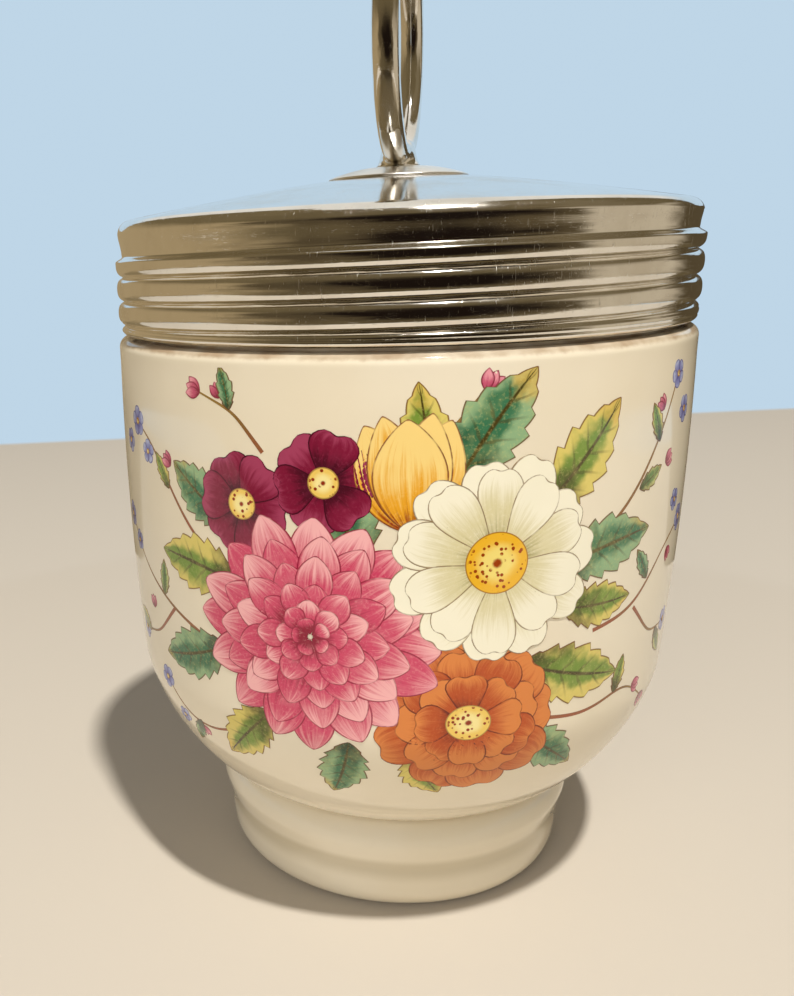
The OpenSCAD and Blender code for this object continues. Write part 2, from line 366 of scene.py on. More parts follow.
class Finish(Nodes):
    """A material with its Principled shader."""

    def __init__(self, name):
        self.material = bpy.data.materials.new(name)
        super().__init__(self.material)
        self.shader = self.tree.nodes["Principled BSDF"]

    def read(self, *names):
        """Values that the mesh holds at each point."""
        return [self.add("ShaderNodeAttribute", {"attribute_name": name}, "Fac") for name in names]

    def place(self):
        """The point's own place on the object, in metres."""
        return self.add("ShaderNodeTexCoord", None, "Object")

    def bump(self, height, depth_mm, **onto):
        """A normal that a height from 0 to 1 lifts by depth_mm."""
        return self.add("ShaderNodeBump", Strength=1.0, Distance=depth_mm * MM, Height=height, **onto)

    def set(self, **values):
        """Values or wires on the shader's own sockets. Gives the material."""
        for key, value in values.items():
            self.feed(self.shader.inputs[key.replace("_", " ")], value)
        return self.material

    def surface(self, shader):
        """Shows another shader than the Principled one. Gives the material."""
        self.feed(self.tree.nodes["Material Output"].inputs["Surface"], shader)
        return self.material


# %% [markdown]
# ## Porcelain
#
# The body is cream-white porcelain under a clear glaze. Close up a glaze isn't
# perfect: it pools a little, its tone drifts, and it leaves the ring that the
# foot stands on bare. The waist of the foot gets a painted shade, a darker band
# where the foot curves in. Years of wet steam have also left a thin brown line
# where the lid's edge rests over the shoulder. All of it comes from the point's
# own place, so it needs no map.

# %% Porcelain finish
PORCELAIN = (0.80, 0.72, 0.565, 1)
PORCELAIN_POOL = (0.76, 0.67, 0.50, 1)
# PORCELAIN_SHADE is the colour of the painted shade in the foot's waist.
PORCELAIN_SHADE = (0.46, 0.38, 0.24, 1)
BARE_RING = (0.55, 0.47, 0.35, 1)
STAIN = (0.26, 0.13, 0.045, 1)
GLAZE_IOR = 1.52


def glazed(f, place, colour, bare=None):
    """The colour under a clear glaze, which runs over the print as well. bare is where it's missing."""
    rough = f.between(f.noise(place, 60.0, 3.0, 0.6), 0.3, 0.75, 0.05, 0.11)
    normal = f.bump(f.noise(place, 170.0, 1.0, 0.4), 0.028)
    if bare is not None:
        rough = rough + bare * 0.55
        normal = f.bump(f.noise(place, 2600.0, 3.0, 0.6) * bare, 0.03, Normal=normal)
    return f.set(Base_Color=colour, Roughness=rough, Normal=normal, IOR=GLAZE_IOR)


def porcelain():
    """Cream porcelain with a painted shade in the foot's waist, stained under the lid and bare below."""
    f = Finish("porcelain_glaze")
    place = f.place()
    height = f.split(place)[2]
    drift = f.noise(place, 38.0, 3.0, 0.55)
    colour = f.mix(f.between(drift, 0.35, 0.7), PORCELAIN, PORCELAIN_POOL)
    # Painted shade: a band in the foot's waist, about 4 to 7.6 mm up, turns darker towards PORCELAIN_SHADE.
    waist = height + drift * (0.8 * MM)
    painted_waist_shade = f.between(waist, 4.0 * MM, 5.9 * MM, 0.0, 0.5) * f.between(waist, 7.6 * MM, 6.5 * MM)
    colour = f.mix(painted_waist_shade, colour, PORCELAIN_SHADE)
    ragged = height + f.noise(place, 900.0, 4.0, 0.65) * (0.45 * MM)
    above = f.between(ragged, (SHOULDER_Z - 0.55) * MM, (SHOULDER_Z - 0.15) * MM)
    below = f.between(height, (SHOULDER_Z + 0.9) * MM, (SHOULDER_Z + 0.3) * MM)
    patchy = f.between(f.noise(place, 160.0, 3.0, 0.6), 0.32, 0.62, 0.2, 0.7)
    colour = f.mix(above * below * patchy, colour, STAIN)
    bare, = f.read("bare")
    return glazed(f, place, f.mix(bare, colour, BARE_RING), bare)


# %% [markdown]
# ## The cup
#
# One closed surface: up from the recess under the foot, over the foot's two
# beads, out along the bowl and the side, round the shoulder, up the threaded
# neck, over the rim and down into the well. The thread is real: the neck's
# radius swells along a helix, as the lid's does above it. The print needs a
# little room inside the solid's size, so the glaze lies 0.1 mm further in.

# %% Cup section
PRINT_ROOM = 0.1
AXIS_R = 0.4
WELL_LOW = RECESS_H + FLOOR_T
QUARTER = math.pi / 2


def print_room(z):
    """How far the glaze stands in from the solid, to leave room for the print."""
    return PRINT_ROOM * ease(z, FOOT_H, FOOT_H + 1) * (1 - ease(z, SHOULDER_Z - 2, SHOULDER_Z - 0.4))


def side_r(z):
    """Radius of the body's side."""
    return BELLY_R - SIDE_TAPER * ((BELLY_Z - z) / (BELLY_Z - BOWL_TOP)) ** 2


def body_r(z):
    """Radius of the body, bowl and side."""
    t = np.clip((z - FOOT_H) / (BOWL_TOP - FOOT_H), 0, 1)
    return side_r(z) - BOWL_DRAW * (1 - (1 - (1 - t) ** BOWL_ROUND) ** BOWL_FILL)


def well_r(z):
    """Inside radius of the well."""
    t = np.clip((z - WELL_LOW) / (BOWL_TOP - WELL_LOW), 0, 1)
    straight = side_r(z) - WALL_T
    drawn = straight + (NECK_IN_R - straight) * ease(z, BELLY_Z, SHOULDER_Z)
    return drawn * np.sqrt(1 - (1 - t) ** 2)


def foot_points():
    """The foot, from the recess under it up to the crease."""
    recess_r = BASE_R - BASE_TUCK - FOOT_RING_W
    crease = body_r(np.array(FOOT_H))
    t = steps(24)[1:]
    waist_r = BASE_R + (BEAD_R - BASE_R) * t - WAIST_DEPTH * (1 - np.cos(TAU * t)) / 2
    points = [(AXIS_R, RECESS_H)]
    points += arc(recess_r - RECESS_H, 0, RECESS_H, RECESS_H, QUARTER, 0, 12)
    points += arc(BASE_R - BASE_TUCK, LOWER_BEAD_Z, BASE_TUCK, LOWER_BEAD_Z, -QUARTER, 0, 12)
    points += list(zip(waist_r, LOWER_BEAD_Z + (UPPER_BEAD_Z - LOWER_BEAD_Z) * t))
    return points + arc(crease, UPPER_BEAD_Z, BEAD_R - crease, FOOT_H - UPPER_BEAD_Z, 0, QUARTER, 12)[1:]


def cup_points():
    """The whole section of the cup, from the recess to the bottom of the well."""
    points = foot_points()
    points += [(body_r(z), z) for z in FOOT_H + (BOWL_TOP - FOOT_H) * steps(60)[1:] ** 2]
    top = SHOULDER_Z - SHOULDER_ROUND
    points += [(side_r(z), z) for z in BOWL_TOP + (top - BOWL_TOP) * steps(40)[1:]]
    points += arc(side_r(top) - SHOULDER_ROUND, top, SHOULDER_ROUND, SHOULDER_ROUND, 0, QUARTER, 10)[1:]
    collar_r = NECK_R + COLLAR_STEP
    lip = (collar_r - NECK_IN_R) / 2
    points += [(NECK_R, SHOULDER_Z), (NECK_R, THREAD_TOP + 0.1), (collar_r, THREAD_TOP + 0.5)]
    points += arc(collar_r - lip, RIM_Z - lip, lip, lip, 0, 2 * QUARTER, 20)
    straight = SHOULDER_Z - (SHOULDER_Z - BOWL_TOP) * steps(50)
    drawn = BOWL_TOP - (BOWL_TOP - WELL_LOW) * np.sin(QUARTER * steps(50)[1:-1])
    points += [(well_r(z), z) for z in [*straight, *drawn]]
    return points + [(AXIS_R, WELL_LOW)]


# %% Cup mesh
def thread_phase(angle, height):
    """0 on a crest of the right-handed thread, pi in a valley."""
    return TAU * (height - EDGE_Z - CREST_START) / PITCH - (angle + np.pi)


def neck_change(angle, radius, height):
    """Raises the porcelain thread on the outside of the neck, and sets the body in for the print."""
    outside = (radius > NECK_R - 0.5) & (height > SHOULDER_Z + 0.05)
    crest = (1 + np.cos(thread_phase(angle, height))) / 2
    fade_in = ease(height, THREAD_LOW, THREAD_LOW + THREAD_FADE)
    fade_out = 1 - ease(height, THREAD_TOP - THREAD_FADE, THREAD_TOP)
    thread = np.where(outside, THREAD_H * crest ** 2 * fade_in * fade_out, 0)
    body = (height > FOOT_H) & (height < SHOULDER_Z - 0.3) & (radius > body_r(height) - 1.5)
    return radius + thread - np.where(body, print_room(height), 0)


def neck_rows(points):
    """More rows where the thread is."""
    return 4.0 * ((points[:, 0] > NECK_R - 0.5) & (points[:, 1] > SHOULDER_Z))


cup_line = outline(cup_points(), 0.16, 1.5, 0.1, False, neck_rows)
cup = turned("cup_porcelain", cup_line, 256, False, neck_change)
cup_at = np.array([v.co for v in cup.data.vertices]) / MM
bare = (1 - ease(cup_at[:, 2], 0.12, 0.4)) * ease(np.hypot(cup_at[:, 0], cup_at[:, 1]), 14, 15)
cup.data.attributes.new("bare", "FLOAT", "POINT").data.foreach_set("value", bare)
cup.data.materials.append(porcelain())
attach(cup, "cup")
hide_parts("cup")

# %% [markdown]
# ## The print
#
# The cup carries a bouquet that was printed and then fired under a clear
# glaze. A factory prints such flowers from a transfer: flat tones first, then
# fine streaks and a thin brown outline. Here each petal and each leaf is its
# own thin tile, less than a tenth of a millimetre over the glaze, so that the
# design keeps its sharp edges at any size. The design is drawn flat, in
# millimetres to the right and up, and then wrapped round the cup.

# %% From the flat design to the cup
ARC_Z = np.linspace(FOOT_H + 0.2, SHOULDER_Z - 1.4, 800)
ARC_R = body_r(ARC_Z) - print_room(ARC_Z)
ARC = np.r_[0, np.cumsum(np.hypot(np.diff(ARC_R), np.diff(ARC_Z)))]
ARC = ARC - np.interp(40, ARC_Z, ARC)
TILE_LOW = -0.05
print("the flat design may reach from %.1f to %.1f mm" % (ARC[0], ARC[-1]))


def on_glaze(flat, lift):
    """Wraps flat points (right, up) round the cup, lift mm above the glaze. (0, 0) is in front, 40 up."""
    v = flat[..., 1]
    r, z = np.interp(v, ARC, ARC_R), np.interp(v, ARC, ARC_Z)
    out = np.interp(v, ARC, np.gradient(ARC_Z, ARC))
    down = np.interp(v, ARC, np.gradient(ARC_R, ARC))
    angle = flat[..., 0] / r
    wide = r + lift * out
    return np.stack([wide * np.sin(angle), -wide * np.cos(angle), z - lift * down], -1)


# %% Tiles of one colour
class Print:
    """Thin closed tiles that share one colour, gathered into one piece."""

    def __init__(self, name, low, high):
        self.name, self.low, self.high = name, low, high
        self.points, self.faces, self.count = [], [], 0
        self.values = {"along": [], "across": [], "rim": [], "tone": []}

    def tile(self, shape, tone, level):
        """Adds one tile. level from 0 to 1 is its place between the piece's lowest and highest tile."""
        flat, along, across, rim = shape
        shift = along.size
        lift = self.low + (self.high - self.low) * level
        self.points += [on_glaze(flat, lift).reshape(-1, 3), on_glaze(flat, TILE_LOW).reshape(-1, 3)]
        k = self.count + np.arange(shift).reshape(along.shape)
        quads = np.stack([k[:-1, :-1], k[1:, :-1], k[1:, 1:], k[:-1, 1:]], -1).reshape(-1, 4)
        edge = np.r_[k[:-1, 0], k[-1, :-1], k[:0:-1, -1], k[0, :0:-1]]
        after = np.roll(edge, -1)
        sides = np.stack([edge, edge + shift, after + shift, after], 1)
        self.faces += np.vstack([quads, quads[:, ::-1] + shift, sides]).tolist()
        self.count += 2 * shift
        for key, value in zip(self.values, (along, across, rim, along * 0 + tone)):
            self.values[key] += [value.ravel(), value.ravel()]

    def make(self, material):
        """The tiles as one piece on the cup."""
        piece = new_piece(self.name, np.vstack(self.points), self.faces)
        for key, value in self.values.items():
            held = piece.data.attributes.new(key, "FLOAT", "POINT")
            held.data.foreach_set("value", np.concatenate(value))
        piece.data.set_sharp_from_angle(angle=math.radians(50))
        piece.data.materials.append(material)
        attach(piece, "cup")
        print(self.name, len(self.faces), "faces")
        return piece


# %% Flat shapes
LEAST_HALF = 0.012


def levels(ring_k, k, count, rings):
    """A tile's level: later rings lie higher, and neighbours in one ring never share a level."""
    odd = 2 if count % 2 and k == count - 1 else k % 2
    return (3 * ring_k + odd) / (3 * rings)


def blade(where, turn, along, across, s, t, half, length):
    """A tile drawn along its own length, turned and moved to where. s counts along it, t across it."""
    c, d = math.cos(turn), math.sin(turn)
    flat = np.stack([where[0] + along * c - across * d, where[1] + along * d + across * c], -1)
    return flat, s + 0 * t, t + 0 * s, np.minimum(half * (1 - np.abs(t)), (1 - s) * length)


def petal(where, turn, start, length, width, belly=0.62, blunt=0.6, bend=0.0, notch=0.0, wave=0.0,
          phase=0.0):
    """A petal that starts beside where and points along turn. belly is the share at which it is widest."""
    rows, cols = max(12, int(length / 0.34)), 2 * max(3, int(width / 0.8))
    s = (0.0004 + 0.9992 * (1 - np.cos(np.pi * steps(rows))) / 2)[:, None]
    t = np.linspace(-1, 1, cols + 1)
    half = width / 2 * np.sin(np.pi * s ** (math.log(0.5) / math.log(belly))) ** blunt
    half = np.maximum(half * (1 + wave * np.sin(8 * s + phase)), LEAST_HALF)
    dent = 1 - notch * np.exp(-(half * t / (0.16 * width)) ** 2) * ease(s, 0.7, 1)
    across = bend * length * s ** 2 + half * t
    return blade(where, turn, start + length * s * dent, across, s, t, half, length)


def leaf(where, degrees, length, width, bend=0.0, teeth=7):
    """A leaf with a toothed margin, widest a little below its middle."""
    s = (0.004 + 0.992 * steps(teeth * 5))[:, None]
    t = np.linspace(-1, 1, 13)
    half = width / 2 * np.sin(np.pi * s ** 0.85) ** 0.85
    tooth = 1 + 0.3 * ((s * teeth) % 1 - 0.5) * ease(s, 0.05, 0.2) * (1 - ease(s, 0.9, 1))
    half = np.maximum(half * tooth, LEAST_HALF)
    across = bend * length * (s ** 2 - 0.3 * s) + half * t
    return blade(where, math.radians(degrees), length * s, across, s, t, half, length)


def disc(where, radius, squash=1.0):
    """A round spot. along runs from 0 in its middle to 1 on its rim."""
    a, b = np.meshgrid(np.linspace(-1, 1, 19), np.linspace(-1, 1, 19), indexing="ij")
    x, y = a * np.sqrt(1 - b ** 2 / 2), b * np.sqrt(1 - a ** 2 / 2)
    share = np.hypot(x, y)
    flat = np.stack([where[0] + radius * x, where[1] + squash * radius * y], -1)
    return flat, share, np.arctan2(y, x) / np.pi, (1 - share) * radius


def stem(points, wide, thin):
    """A line through three or more points, from wide to thin."""
    s = steps(36)
    path = both(s, np.linspace(0, 1, len(points)), np.array(points, float))
    for _ in range(40):
        path[1:-1] = (path[:-2] + 2 * path[1:-1] + path[2:]) / 4
    run = np.gradient(path, axis=0)
    run = run / np.hypot(*run.T)[:, None]
    left = np.stack([-run[:, 1], run[:, 0]], 1)
    half = (wide + (thin - wide) * s)[:, None] / 2
    t = np.linspace(-1, 1, 3)
    flat = path[:, None] + left[:, None] * (half * t)[..., None]
    return flat, s[:, None] + 0 * t, t + 0 * s[:, None], half * (1 - np.abs(t))


# %% [markdown]
# The paint has one recipe. Along a petal the tone runs from a deep colour at
# its base over a middle one to a light tip. Fine streaks follow the petal,
# since the attributes count along and across it, and a thin line darkens its
# margin. A stipple as fine as a printer's screen breaks the flat tones up.

# %% Paint
def shown(red, green, blue):
    """A colour written as a paint program shows it, 0 to 255."""
    light = [((v / 255 + 0.055) / 1.055) ** 2.4 if v > 10 else v / 3294 for v in (red, green, blue)]
    return (*light, 1)


LINE_BROWN = (120, 62, 40)


def stipple(f, place, colour, light):
    """Breaks a tone up with the fine grain of a print."""
    colour = f.mix(f.between(f.noise(place, 3600.0, 2.0, 0.6), 0.5, 0.75, 0.0, 0.22), colour, light)
    return f.mix(f.between(f.noise(place, 420.0, 3.0, 0.6), 0.45, 0.75, 0.0, 0.16), colour, light)


def painted(name, deep, middle, light, line=LINE_BROWN, streaks=6.0, turn_at=0.5, line_mm=0.16,
            contrast=0.5):
    """Paint for petals: deep at the base, light at the tip, streaked along, with a thin margin line."""
    f = Finish(name)
    place = f.place()
    deep, middle, light, line = (shown(*rgb) for rgb in (deep, middle, light, line))
    along, across, rim, tone = f.read("along", "across", "rim", "tone")
    flow = f.add("ShaderNodeCombineXYZ", X=along * 1.6, Y=across * streaks, Z=tone * 17.0)
    streak = f.noise(flow, 1.0, 3.0, 0.65, 0.4) - 0.5
    wash = f.noise(place, 260.0, 2.0, 0.5) - 0.5
    shade = along + streak * (1.3 * contrast) + wash * (0.5 * contrast) + (tone - 0.5) * 0.35
    colour = f.mix(f.between(shade, turn_at - 0.42, turn_at), deep, middle)
    colour = f.mix(f.between(shade, turn_at, turn_at + 0.42), colour, light)
    colour = stipple(f, place, colour, light)
    broken = f.between(f.noise(place, 700.0, 2.0, 0.6), 0.3, 0.55, 0.35, 0.95)
    margin = f.between(rim, line_mm * 1.3, line_mm * 0.4) * broken
    return glazed(f, place, f.mix(margin, colour, line))


def painted_leaf(name):
    """Leaf paint: yellow-green or bluer by its tone, light margins, dark base and veins, a brown rim."""
    f = Finish(name)
    place = f.place()
    along, across, rim, tone = f.read("along", "across", "rim", "tone")
    side = abs(across)
    wash = f.noise(place, 300.0, 3.0, 0.6) - 0.5
    blue = f.between(tone, 0.45, 0.55)
    light = f.mix(blue, shown(214, 196, 104), shown(140, 172, 128))
    green = f.mix(blue, shown(112, 140, 52), shown(58, 112, 78))
    deep = f.mix(blue, shown(66, 62, 22), shown(40, 58, 44))
    colour = f.mix(f.between(side + wash * 0.9 + across * -0.22, 0.3, 0.72), green, light)
    colour = f.mix(f.between(along + wash, 0.48, 0.0, 0.0, 0.9), colour, deep)
    colour = f.mix(f.between(along + wash, 0.78, 1.05, 0.0, 0.7), colour, shown(214, 176, 84))
    wave = f.math("SINE", (along * 6.0 - side) * 6.283)
    vein = f.between(wave, 0.8, 0.98) * f.between(side, 1.0, 0.25)
    lines = f.math("MAXIMUM", vein * 0.55, f.between(side, 0.1, 0.03))
    colour = f.mix(lines, colour, shown(70, 60, 26))
    colour = stipple(f, place, colour, shown(222, 208, 130))
    return glazed(f, place, f.mix(f.between(rim, 0.2, 0.07) * 0.85, colour, shown(104, 58, 34)))


def painted_eye(name, middle, ring, dots):
    """Paint for a flower's round centre: a pale middle, a ring, and small dots of pollen."""
    f = Finish(name)
    place = f.place()
    middle, ring, dots = (shown(*rgb) for rgb in (middle, ring, dots))
    share, rim = f.read("along", "rim")
    loose = share + (f.noise(place, 900.0, 2.0, 0.5) - 0.5) * 0.3
    colour = f.mix(f.between(loose, 0.35, 0.8), middle, ring)
    spot = f.add("ShaderNodeTexVoronoi", None, "Distance", Vector=place, Scale=1900.0)
    band = f.between(share, 0.2, 0.34) * f.between(share, 0.96, 0.84)
    colour = f.mix(f.between(spot, 0.36, 0.26) * band, colour, dots)
    colour = f.mix(f.between(share, 0.2, 0.1), colour, dots)
    return glazed(f, place, f.mix(f.between(rim, 0.16, 0.05) * 0.7, colour, shown(*LINE_BROWN)))


# %% [markdown]
# Now the bouquet itself. A big pink dahlia sits left of the middle, with a
# white daisy to its upper right and a rust-coloured marigold below that. A
# streaked yellow tulip looks out over the top between two dark auriculas.
# Leaves fan out behind, and thin sprigs run round both sides of the cup.

# %% Stems and leaves
rng = np.random.default_rng(11)
DAHLIA = (-7.6, -3.2)
DAISY = (9.2, 4.2)
MARIGOLD = (7.2, -11.6)
TULIP = (1.6, 7.6)
AURICULAS = [(-14.4, 9.0, 5.0), (-6.2, 11.6, 4.8)]

stems = Print("print_stems", 0.004, 0.012)
STEM_PATHS = [
    [(-17, 2), (-22, 6), (-27, 13), (-31, 15)],
    [(-19, -6), (-25, -4), (-31, -1), (-36, 4)],
    [(-25, -4), (-29, -8), (-34, -9)],
    [(-14, -14), (-19, -17), (-24, -17), (-28, -13)],
    [(18, 4), (24, 8), (29, 15), (31, 19)],
    [(20, -4), (26, -3), (31, 2), (36, 4)],
    [(26, -3), (30, -7), (35, -7)],
    [(14, -12), (20, -13), (26, -11), (30, -14)],
    [(2.5, 12), (4.5, 16), (7.5, 19.5)],
    [(-12, 14), (-15, 17.5), (-19, 19)],
]
for path in STEM_PATHS:
    stems.tile(stem(path, 0.42, 0.18), rng.uniform(), rng.uniform())

leaves = Print("print_leaves", 0.014, 0.032)
LEAVES = [
    (-15, 1, 168, 11.5, 6.0, 0.12, 0.2), (-17, -6, 205, 11.0, 5.6, -0.14, 0.8),
    (-16, 7, 150, 9.0, 5.0, -0.1, 0.9), (-12, -12, 228, 9.5, 5.4, 0.12, 0.1),
    (-4, -14, 262, 8.0, 4.8, -0.1, 0.9), (2, -15, 290, 6.5, 4.4, 0.1, 0.2),
    (-3, 4, 108, 10.5, 6.5, 0.1, 0.85), (5, 11, 60, 12.5, 6.2, -0.12, 0.9),
    (3, 10, 92, 10.5, 4.8, 0.1, 0.15), (13, 8.5, 44, 12.5, 5.8, 0.12, 0.15),
    (15, 3, 14, 12.5, 5.8, -0.12, 0.85), (12, -6, 340, 12.5, 6.0, 0.12, 0.1),
    (12, -13, 322, 9.5, 5.0, -0.1, 0.9), (16, -1, 354, 9.0, 4.4, 0.1, 0.2),
]
for k, (u, v, degrees, length, width, bend, tone) in enumerate(LEAVES):
    leaves.tile(leaf((u, v), degrees, length, width, bend), tone, k / len(LEAVES))
SMALL_LEAVES = [
    (-24.5, 9, 120), (-27, -3, 80), (-22, -16.5, 250), (-32, -8.8, 150), (25, 9, 20), (28, -0.5, 120),
    (24, -11.8, 70), (32, -7, 300), (-15.5, 17.6, 100), (28, 13, 110),
]
for k, (u, v, degrees) in enumerate(SMALL_LEAVES):
    leaves.tile(leaf((u, v), degrees, 4.2, 1.9, 0.1, 5), (k % 3) / 2, k / len(SMALL_LEAVES))

# %% Flowers behind
marigold = Print("print_marigold", 0.032, 0.048)
for ring_k, (count, length, width) in enumerate([(9, 9.0, 5.9), (9, 7.4, 4.8), (8, 5.2, 4.0)]):
    for k in range(count):
        a = TAU * (k + 0.5 * ring_k) / count + rng.uniform(-0.08, 0.08)
        long = length * rng.uniform(0.93, 1.05)
        shape = petal(MARIGOLD, a, 0.2, long, width, 0.7, 0.5, 0.03, 0.07, 0.06, k)
        marigold.tile(shape, rng.uniform(), levels(ring_k, k, count, 3))

auricula = Print("print_auricula", 0.032, 0.044)
for u, v, size in AURICULAS:
    for k in range(6):
        shape = petal((u, v), TAU * k / 6 + 0.3 * u, 0.1, size, size * 0.98, 0.68, 0.5, 0.0, 0.1)
        auricula.tile(shape, rng.uniform(), k % 2)

tulip = Print("print_tulip", 0.032, 0.048)
TULIP_PETALS = [
    (122, 10.5, 5.4, -0.12), (64, 10.5, 5.4, 0.12), (108, 10.8, 5.0, -0.05), (78, 10.8, 5.0, 0.05),
    (93, 10.2, 6.6, 0.0),
]
for k, (degrees, length, width, bend) in enumerate(TULIP_PETALS):
    shape = petal(TULIP, math.radians(degrees), -0.5, length, width, 0.5, 0.75, bend)
    tulip.tile(shape, rng.uniform(), k / len(TULIP_PETALS))

# %% The dahlia and the daisy
dahlia = Print("print_dahlia", 0.050, 0.076)
RINGS = [(16, 12.2, 4.7), (15, 10.0, 4.2), (13, 7.8, 3.7), (11, 5.6, 3.1), (8, 3.6, 2.5), (5, 2.0, 1.8)]
for ring_k, (count, length, width) in enumerate(RINGS):
    start = 0.25 if ring_k else 1.0
    for k in range(count):
        a = TAU * (k + 0.5 * (ring_k % 2)) / count + rng.uniform(-0.06, 0.06)
        long = length * rng.uniform(0.95, 1.04) - start
        shape = petal(DAHLIA, a, start, long, width, 0.66, 0.72, rng.uniform(-0.05, 0.05))
        dahlia.tile(shape, rng.uniform(), levels(ring_k, k, count, len(RINGS)))

daisy = Print("print_daisy", 0.078, 0.088)
for ring_k, (count, length, width) in enumerate([(11, 9.9, 4.8), (10, 8.8, 4.3)]):
    for k in range(count):
        a = TAU * (k + 0.5 * ring_k) / count + rng.uniform(-0.05, 0.05)
        long = length * rng.uniform(0.94, 1.04) - 0.6
        shape = petal(DAISY, a, 0.6, long, width, 0.72, 0.45, 0.03, 0.045)
        daisy.tile(shape, rng.uniform(), levels(ring_k, k, count, 2))

# %% Sprigs round the sides and a small spray behind
BACK = TAU / 2 * 31
sprigs = Print("print_forget_me_nots", 0.014, 0.022)
BLUE = [
    (-31, 15, 1.5), (-28.6, 12.2, 1.2), (-34, 12.6, 1.25), (-36, 4, 1.4), (-33.4, 1.6, 1.1),
    (-34, -9, 1.3), (-28, -13, 1.3), (-25.4, -17.4, 1.1), (31, 19, 1.3), (33.6, 15.4, 1.3), (36, 4, 1.4),
    (33.4, 6.4, 1.1), (35, -7, 1.3), (BACK - 5.5, 2.5, 1.4), (BACK + 5.8, 3.4, 1.4),
    (BACK + 4.4, -2.8, 1.2),
]
for u, v, size in BLUE:
    for k in range(5):
        shape = petal((u, v), TAU * k / 5 + u, 0.1, size, size * 0.95, 0.66, 0.5)
        sprigs.tile(shape, rng.uniform(), levels(0, k, 5, 1))

buds = Print("print_buds", 0.014, 0.022)
BUDS = [
    (-19, 19, 160, 2.0), (-16.6, 18.6, 110, 1.6), (7.6, 19.4, 60, 2.0), (30, -14, 300, 2.0),
    (27.6, -12, 340, 1.7), (-24, 11.4, 140, 1.7), (-30, -5.4, 100, 1.6), (29.6, 10.8, 20, 1.7),
    (32.6, 1.6, 300, 1.6), (28.4, 16, 130, 1.6), (-21.6, -17.2, 280, 1.6), (BACK - 1, 7.4, 95, 2.0),
    (BACK + 2.2, 6.4, 60, 1.7),
]
for u, v, degrees, length in BUDS:
    for fan in (-1, 1, 0):
        shape = petal((u, v), math.radians(degrees + 24 * fan), 0, length, length * 0.6, 0.5, 0.8)
        buds.tile(shape, rng.uniform(), (fan + 1) / 3)

for path in ([(-5, 2), (-2, 0.5), (0, -3)], [(5.4, 3), (2, 1), (0, -3)],
             [(-1, 7), (0, 2), (0, -5)], [(4.2, -2.6), (2, -2), (0, -4)]):
    stems.tile(stem([(BACK + u, v) for u, v in path], 0.22, 0.34), rng.uniform(), rng.uniform())
for k, (u, v, degrees) in enumerate([(-0.4, -2, 200), (0.4, -2.5, 330), (0, 0, 140), (0.3, 1, 40)]):
    leaves.tile(leaf((BACK + u, v), degrees, 6.0, 3.0, 0.1, 6), (k % 2) * 0.8, k / 4)
for k in range(6):
    shape = petal((BACK, 1.0), TAU * k / 6, 0.1, 3.2, 3.1, 0.68, 0.5, 0.0, 0.1)
    auricula.tile(shape, rng.uniform(), k % 2)

# %% Centres and colours
eyes = Print("print_golden_eyes", 0.091, 0.093)
eyes.tile(disc(DAISY, 2.9), 0.5, 0.5)
small_eyes = Print("print_cream_eyes", 0.050, 0.052)
small_eyes.tile(disc(MARIGOLD, 2.2, 0.85), 0.5, 0.5)
for u, v, size in AURICULAS + [(BACK, 1.0, 3.2)]:
    small_eyes.tile(disc((u, v), size * 0.3), 0.5, 0.5)
for u, v, size in BLUE:
    small_eyes.tile(disc((u, v), size * 0.24), 0.5, 0.0)

# Each paint has a deep, a middle and a light tone, and then the colour of its line.
stems.make(painted("paint_stem", (150, 86, 60), (128, 92, 48), (150, 120, 62), line_mm=0.01, contrast=1.0))
leaves.make(painted_leaf("paint_leaf"))
marigold.make(painted("paint_rust", (110, 30, 10), (178, 74, 26), (214, 128, 62), (96, 30, 14), 9.0))
auricula.make(painted("paint_plum", (70, 8, 30), (122, 20, 52), (160, 62, 92), (60, 8, 28), 5.0, 0.55))
tulip.make(painted("paint_yellow", (140, 40, 16), (226, 160, 40), (240, 208, 128), LINE_BROWN, 10.0, 0.34,
                   contrast=0.8))
dahlia.make(painted("paint_pink", (136, 6, 44), (200, 66, 98), (238, 176, 176), (136, 20, 50), 7.0, 0.66,
                    contrast=0.55))
daisy.make(painted("paint_white", (146, 136, 76), (214, 204, 160), (240, 234, 210), (132, 108, 74), 9.0,
                   0.42, 0.13))
sprigs.make(painted("paint_blue", (96, 92, 156), (132, 136, 190), (176, 182, 214), (90, 88, 140), 4.0))
buds.make(painted("paint_bud", (128, 40, 60), (190, 84, 110), (226, 150, 160), (128, 40, 60), 4.0))
eyes.make(painted_eye("paint_gold", (236, 214, 120), (230, 176, 44), (150, 60, 14)))
small_eyes.make(painted_eye("paint_cream", (240, 222, 150), (232, 196, 96), (140, 46, 20)))


# %% [markdown]
# ## Bright metal
#
# The lid, plate and ring are plated and polished. What tells polished metal
# from a mirror is its wear: very fine rings from spinning and wiping, longer
# scratches that cross them, a few short nicks, and a dull film of fingerprints
# that comes and goes. The scratches run round the axis, so the nodes first
# turn the place into an angle and a height.

# %% Bright metal finish
CHROME = (0.90, 0.875, 0.825, 1)
CHROME_DULL = (0.66, 0.61, 0.52, 1)


def round_the_axis(f):
    """(radius times angle, height, radius) of a point, as a vector in metres."""
    x, y, z = f.split(f.place())
    angle = f.math("ARCTAN2", y, x)
    return f.add("ShaderNodeCombineXYZ", X=angle * (30 * MM), Y=z, Z=f.math("SQRT", x * x + y * y))


